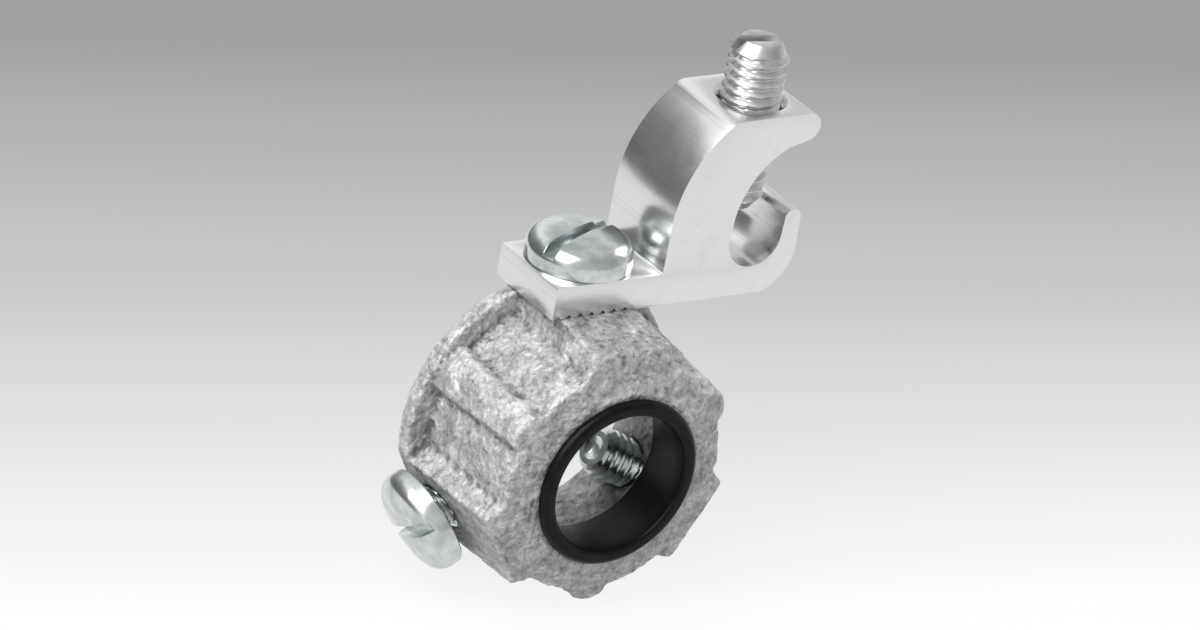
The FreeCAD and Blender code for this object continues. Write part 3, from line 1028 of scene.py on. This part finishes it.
def clamp_profile(settings):
    """Section of the headless screw, from its lower end to its slotted one."""
    radius = settings.radius
    low, high = CLAMP_LOW * MM, CLAMP_HIGH * MM
    tip, crown = CLAMP_TIP * MM, CLAMP_CROWN * MM
    stem = [(radius, z) for z in even_rows(low + tip, high - crown, settings.pitch / ROWS_PER_TURN)]
    return [(0.0, low), (radius - tip, low), *stem, (radius - crown, high), (0.0, high)]


class BUSHING_OT_clamp_screw(bpy.types.Operator):
    """Headless screw that clamps the wire"""
    bl_idname = "bushing.clamp_screw"
    bl_label = "Clamp screw"

    def execute(self, context):
        settings = context.scene.bushing_clamp_screw
        top = CLAMP_HIGH * MM
        mesh = turned_form("clamp_stud", clamp_profile(settings), SCREW_COLUMNS)
        piece = place_object("clamp_stud", mesh)
        run_tree(piece, thread_tree(), {
            "Pitch": settings.pitch,
            "Depth": settings.depth,
            "Radius": settings.radius,
            "Top": top + 2 * settings.pitch,
            "Material": bright_steel(settings),
        })
        cut_slot(piece, settings, top, settings.radius, CLAMP_SLOT)
        break_edges(piece, settings.edge, degrees=50, above=top - settings.slot_depth - SLOT_MARGIN * MM)
        piece.data.transform(Matrix.Translation((CLAMP_X * MM, LUG_AXIS_Y * MM, LUG_BASE_Z * MM)))
        smooth_faces(piece, SCREW_CREASE)
        finish_piece(piece, "clamp_screw", "clamp_screw")
        return {"FINISHED"}


# Stage.

def stage_floor(settings):
    """Floor just under the bushing."""
    bm = bmesh.new()
    bmesh.ops.create_grid(bm, x_segments=8, y_segments=8, size=FLOOR_REACH)
    bmesh.ops.translate(bm, verts=bm.verts, vec=(0, 0, CAD_BOX[0].z - FLOOR_GAP))
    floor = place_object("floor", kept_mesh(bm, "floor"))
    floor.data.materials.append(plain_floor(settings))


def soft_light(name, energy, size, place, mirrored):
    """A square area light that faces the bushing, and that metal mirrors or not."""
    lamp = bpy.data.lights.new(name, "AREA")
    lamp.energy = energy
    lamp.size = size
    light = place_object(name, lamp)
    light.location = place
    light.rotation_mode = "QUATERNION"
    light.rotation_quaternion = (Vector(LAMP_AIM) - Vector(place)).to_track_quat("-Z", "Y")
    light.visible_glossy = mirrored


def room_light(strength):
    """Pale room, dark only low down behind the bushing's left side."""
    world = bpy.data.worlds.new("room")
    world.use_nodes = True
    bpy.context.scene.world = world
    tree = world.node_tree
    background = tree.nodes["Background"]
    coordinates = tree.nodes.new("ShaderNodeTexCoord")
    across = vector_math(tree, "DOT_PRODUCT", coordinates.outputs["Generated"], ROOM_SIDE)["Value"]
    shade = ramp(tree, ranged(tree, across, -1.0, 1.0, 0.0, 1.0), ROOM_COLOURS)
    rays = tree.nodes.new("ShaderNodeLightPath").outputs
    pale = arithmetic(tree, "MAXIMUM", rays["Is Camera Ray"], rays["Is Glossy Ray"])
    feed(tree, background.inputs["Color"], shade)
    feed(tree, background.inputs["Strength"], ranged(tree, pale, 0.0, 1.0, strength, 1.0))


def photo_camera():
    """Camera at the picture's viewing angle."""
    data = bpy.data.cameras.new("camera")
    data.lens = 180.0
    data.sensor_width = 36.0
    data.sensor_fit = "HORIZONTAL"
    data.clip_start = 0.01
    data.clip_end = 20.0
    camera = place_object("camera", data)
    back = Vector(PICTURE_BACK).normalized()
    right = Vector(PICTURE_RIGHT)
    right = (right - back * right.dot(back)).normalized()
    turn = Matrix((right, back.cross(right), back)).transposed().to_4x4()
    face = Matrix.Translation((0.0, FRONT_FACE_Y * MM, 0.0))
    camera.matrix_world = face @ turn @ Matrix.Translation(CAMERA_PLACE)
    bpy.context.scene.camera = camera


class BUSHING_OT_stage(bpy.types.Operator):
    """Floor, lights and camera"""
    bl_idname = "bushing.stage"
    bl_label = "Stage"

    def execute(self, context):
        settings = context.scene.bushing_stage
        stage_floor(settings)
        for name, size, place, mirrored in LAMPS:
            soft_light(name, getattr(settings, name), size, place, mirrored)
        room_light(settings.sky)
        photo_camera()
        context.scene.view_settings.view_transform = "Standard"
        return {"FINISHED"}


GROUPS = (
    ("bushing_casting", CastingSettings, BUSHING_OT_casting),
    ("bushing_liner", LinerSettings, BUSHING_OT_liner),
    ("bushing_lug", LugSettings, BUSHING_OT_lug),
    ("bushing_pan_screws", PanScrewSettings, BUSHING_OT_pan_screws),
    ("bushing_clamp_screw", ClampScrewSettings, BUSHING_OT_clamp_screw),
    ("bushing_stage", StageSettings, BUSHING_OT_stage),
)


class BUSHING_PT_pieces(bpy.types.Panel):
    """Pieces of the bushing with their settings"""
    bl_label = "Grounding bushing"
    bl_idname = "BUSHING_PT_pieces"
    bl_space_type = "VIEW_3D"
    bl_region_type = "UI"
    bl_category = "Bushing"

    def draw(self, context):
        for name, group, operator in GROUPS:
            box = self.layout.box()
            box.operator(operator.bl_idname)
            for setting in group.__annotations__:
                box.prop(getattr(context.scene, name), setting)


def register():
    for name, group, operator in GROUPS:
        bpy.utils.register_class(group)
        bpy.utils.register_class(operator)
        setattr(bpy.types.Scene, name, PointerProperty(type=group))
    bpy.utils.register_class(BUSHING_PT_pieces)


def unregister():
    bpy.utils.unregister_class(BUSHING_PT_pieces)
    for name, group, operator in reversed(GROUPS):
        delattr(bpy.types.Scene, name)
        bpy.utils.unregister_class(operator)
        bpy.utils.unregister_class(group)


def main():
    register()
    bpy.ops.bushing.casting()
    bpy.ops.bushing.liner()
    bpy.ops.bushing.lug()
    bpy.ops.bushing.pan_screws()
    bpy.ops.bushing.clamp_screw()
    bpy.ops.bushing.stage()


if __name__ == "__main__":
    main()
